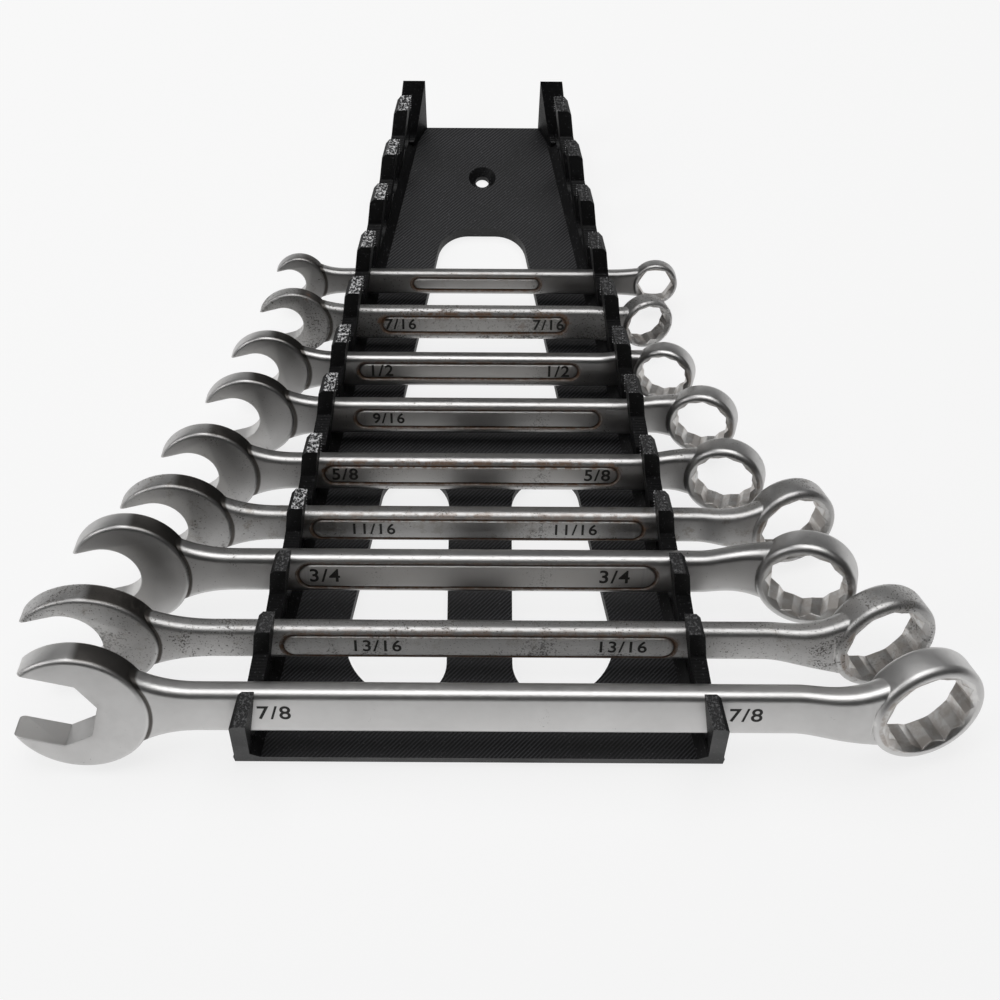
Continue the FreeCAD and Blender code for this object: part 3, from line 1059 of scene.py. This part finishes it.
    def _stamps(self, tool: Tool, place: Matrix) -> None:
        """The size stamped on the shaft."""
        middle = tool.panel[3] if tool.panel else 0.4
        for number, x in enumerate(tool.marks, 1):
            curve = bpy.data.curves.new("mark", "FONT")
            curve.body = tool.label
            curve.size = tool.text
            curve.extrude = 0.04
            curve.offset = 0.09
            curve.align_x = "CENTER"
            curve.align_y = "CENTER"
            curve.space_character = 1.12
            word = Solid.show("mark", curve)
            graph = bpy.context.evaluated_depsgraph_get()
            mesh = bpy.data.meshes.new_from_object(word.evaluated_get(graph))
            bpy.data.objects.remove(word)
            bpy.data.curves.remove(curve)
            mesh.transform(place @ Matrix.Translation((x, middle, tool.thick / 2)))
            mesh.materials.clear()
            mesh.materials.append(self.paints.stamp)
            piece = Solid.show(f"stamp_{tool.node.removeprefix('wrench_')}_{number}", mesh)
            adopt(piece)

    def build(self, tool: Tool, tooth_y: float) -> None:
        """Build one wrench.

        Args:
            tool: The wrench.
            tooth_y: Top rear edge of the tooth in front of it.
        """
        piece, at_ring = self._shaft(tool), self._ring_place(tool)
        head = Solid.disc("head", tool.head_radius, tool.head_thick, self.rims[0])
        stretch = Matrix.Diagonal((tool.disc_along, tool.beak[1], 1.0, 1.0))
        Solid.combine(piece, head, "UNION", Matrix.Translation((tool.disc_x, 0, 0)) @ stretch)
        ring = Solid.disc("ring", tool.ring_radius, tool.ring_thick, self.rims[1])
        Solid.combine(piece, ring, "UNION", at_ring)
        cutters = [self._jaw(tool)] + [(cutter, at_ring) for cutter in self._hollow(tool)]
        if tool.panel:
            cutters += [(self._groove(tool, side), Matrix()) for side in (-1, 1)]
        for cutter, place in cutters:
            Solid.combine(piece, cutter, "DIFFERENCE", place)
        mesh = piece.data
        local = [value for vertex in mesh.vertices for value in vertex.co]
        mesh.attributes.new("on_wrench", "FLOAT_VECTOR", "POINT").data.foreach_set("vector", local)
        place = placing(tool, tooth_y)
        mesh.transform(place)
        mesh.shade_smooth()
        mesh.set_sharp_from_angle(angle=self.sharp)
        piece.name = "dressed_" + tool.node
        mesh.materials.clear()
        mesh.materials.append(self.paints.steel(tool))
        adopt(piece, tool.node)
        self._stamps(tool, place)
        LOG.info("%s: %d faces", piece.name, len(mesh.polygons))


@dataclass
class RackMaker:
    """Dresses the rack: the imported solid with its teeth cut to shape.

    Attributes:
        paints: The materials.
        node: The rack as packed.
        slot_floor: Height where a cut ends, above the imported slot's floor.
        slot_gap: Added to what a slot holds.
        above: How far a cut rises over the teeth.
        reach: Half width of a cut.
        weld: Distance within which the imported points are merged, in metres.
        first_beaded: The first tooth with a beaded top.
        bead_edges: Outer, inner, rear and front edge of the beads on a top.
        bead_step: Distance between beads, in metres.
        bead_radius: Radius of the largest bead, in metres.
        bead_seed: Seed of the beads' sizes.
    """

    paints: Paints
    node: Object
    slot_floor: float = 9.0
    slot_gap: float = 0.2
    above: float = 8.0
    reach: float = 90.0
    weld: float = 2e-6
    first_beaded: int = 3
    bead_edges: tuple[float, ...] = (1.2, RAIL_THICK - 1.3, 0.1, TOOTH_TOP - 0.2)
    bead_step: float = 0.0009
    bead_radius: float = 0.00022
    bead_seed: int = 7

    def _slot_cutter(self, index: int) -> Object:
        """One slot with its widened mouth."""
        tooth_y = TOOTH_Y[index]
        held = TOOLS[index].thick if index < len(TOOLS) else SPARE_SLOT
        level = (held + 2 * CLEARANCE + self.slot_gap) / cos(SLOT_LEAN)
        over, low = RAIL_TOP + self.above, self.slot_floor
        outline = [(slot_wall(tooth_y, low), low), (slot_wall(tooth_y, low) + level, low),
                   (slot_wall(tooth_y, LEDGE) + level, LEDGE)]
        if index + 1 < len(TOOTH_Y):
            edge = TOOTH_Y[index + 1] - TOOTH_TOP
            outline += [(edge - TOOTH_LEAN * (RAIL_TOP - z), z) for z in (MOUTH, over)]
        else:
            outline.append((slot_wall(tooth_y, over) + level, over))
        outline.append((slot_wall(tooth_y, over), over))
        flat = [(-self.reach, y - ORIGIN_Y, z) for y, z in outline]
        return Solid.prism("slot", flat, (2 * self.reach, 0, 0))

    def build(self) -> None:
        """Build the rack's piece."""
        shape = bmesh.new()
        shape.from_mesh(self.node.data)
        shape.transform(self.node.matrix_world)
        bmesh.ops.remove_doubles(shape, verts=shape.verts, dist=self.weld)
        bmesh.ops.scale(shape, verts=shape.verts, vec=(1 / MM,) * 3)
        mesh = bpy.data.meshes.new("dressed_rack")
        shape.to_mesh(mesh)
        shape.free()
        piece = Solid.show("dressed_rack", mesh)
        for index in range(len(TOOTH_Y)):
            Solid.combine(piece, self._slot_cutter(index), "DIFFERENCE", Matrix())
        piece.data.transform(Matrix.Scale(MM, 4))
        piece.data.shade_flat()
        piece.data.materials.clear()
        piece.data.materials.append(self.paints.rack())
        adopt(piece, "rack")

    def beads(self) -> None:
        """Bead the edges of the tooth tops."""
        points: list[tuple[float, float, float]] = []
        edges: list[tuple[int, int]] = []
        out, across, rear, front = self.bead_edges
        for tooth_y in TOOTH_Y[self.first_beaded:]:
            for side in (-1, 1):
                outer = FRONT_HALF_WIDTH - TAPER * tooth_y - RAIL_LEAN * RAIL_TOP - out
                inner = outer - across
                first = len(points)
                points += [(side * x * MM, (tooth_y - y - ORIGIN_Y) * MM, RAIL_TOP * MM) for x, y
                           in ((outer, rear), (inner, rear), (inner, front), (outer, front))]
                edges += [(first + k, first + (k + 1) % 4) for k in range(4)]
        mesh = bpy.data.meshes.new("edge_beads")
        mesh.from_pydata(points, edges, [])
        piece = Solid.show("edge_beads", mesh)
        Repeats.apply(piece, Repeats.beads(), {
            "Step": self.bead_step, "Radius": self.bead_radius, "Seed": self.bead_seed,
            "Material": self.paints.bead})
        adopt(piece)


@dataclass(frozen=True)
class Studio:
    """Floor, light and camera.

    Attributes:
        place: Where the camera stands, in metres.
        pitch: Its tilt from straight down.
        roll: Its turn about the line of sight.
        lens: Its focal length.
        shift: Its sideways shift.
        white: Share of plain white in what the camera sees of the floor.
        reach: Half length of the floor, in metres.
        tone: Grey level and roughness of the floor.
        lamp_rows: Name, place, size and power of each lamp.
    """

    place: tuple[float, float, float] = (0.0, -0.2198, 0.4032)
    pitch: float = radians(26.93)
    roll: float = radians(0.32)
    lens: float = 54.0
    shift: float = 0.0196
    white: float = 0.80
    reach: float = 3.0
    tone: tuple[float, float] = (0.93, 0.9)
    lamp_rows: tuple[tuple[str, tuple[float, float, float], float, float], ...] = (
        ("overhead", (0.0, 0.30, 0.95), 0.9, 7.0), ("side", (-0.8, -0.1, 0.6), 0.5, 2.0))

    def floor(self) -> None:
        """Lay the pale floor."""
        far = self.reach
        corners = [(-far, -far, 0), (far, -far, 0), (far, far, 0), (-far, far, 0)]
        floor = Solid.make("floor", corners, [(0, 1, 2, 3)])
        paint = bpy.data.materials.new("floor")
        paint.use_nodes = True
        nodes = paint.node_tree.nodes
        shader = nodes["Principled BSDF"]
        g = Graph(paint.node_tree)
        g.fill(shader.inputs, {"Base Color": (*(self.tone[0],) * 3, 1), "Roughness": self.tone[1]})
        rays = g.node("ShaderNodeLightPath")
        seen = g.math("MAXIMUM", rays["Is Camera Ray"], rays["Is Glossy Ray"])
        seen = g.math("MAXIMUM", seen, rays["Is Transmission Ray"])
        white = g.node("ShaderNodeEmission", {"Strength": 1.0})[0]
        mixed = g.node("ShaderNodeMixShader", {
            0: g.times(seen, self.white), 1: shader.outputs[0], 2: white})[0]
        g.fill(nodes["Material Output"].inputs, {"Surface": mixed})
        floor.data.materials.append(paint)

    @staticmethod
    def world() -> None:
        """Set the soft sky: brighter behind and above."""
        world = bpy.data.worlds.new("studio")
        bpy.context.scene.world = world
        world.use_nodes = True
        g = Graph(world.node_tree)
        _, y, z = g.split(g.node("ShaderNodeTexCoord")["Generated"])
        level = g.plus(g.span(y, -0.6, 0.9, 0.30, 0.85), g.span(z, 0.0, 0.9, 0.0, 0.25))
        g.fill(world.node_tree.nodes["Background"].inputs, {"Strength": level})

    def lamps(self) -> None:
        """Hang the soft lamps."""
        for name, place, size, power in self.lamp_rows:
            lamp = bpy.data.lights.new(name, "AREA")
            lamp.energy = power
            lamp.size = size
            thing = Solid.show(name, lamp)
            thing.location = place
            thing.rotation_euler = (-Vector(place)).to_track_quat("-Z", "Y").to_euler()

    def camera(self) -> None:
        """Stand the camera where the photograph was taken."""
        camera = bpy.data.cameras.new("camera")
        camera.lens = self.lens
        camera.sensor_width = 36.0
        camera.shift_x = self.shift
        thing = Solid.show("camera", camera)
        thing.location = self.place
        turn = Matrix.Rotation(self.pitch, 3, "X") @ Matrix.Rotation(self.roll, 3, "Z")
        thing.rotation_euler = turn.to_euler()
        bpy.context.scene.camera = thing


def main() -> None:
    """Build the whole scene."""
    logging.basicConfig(level=logging.INFO)
    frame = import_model()
    bpy.context.scene.view_settings.view_transform = "Standard"
    paints = Paints()
    rack = RackMaker(paints, frame["nodes"]["rack"])
    rack.build()
    rack.beads()
    maker = WrenchMaker(paints, Repeats.socket())
    for tool, tooth_y in zip(TOOLS, TOOTH_Y):
        maker.build(tool, tooth_y)
    studio = Studio()
    studio.floor()
    studio.world()
    studio.lamps()
    studio.camera()


if __name__ == "__main__":
    main()
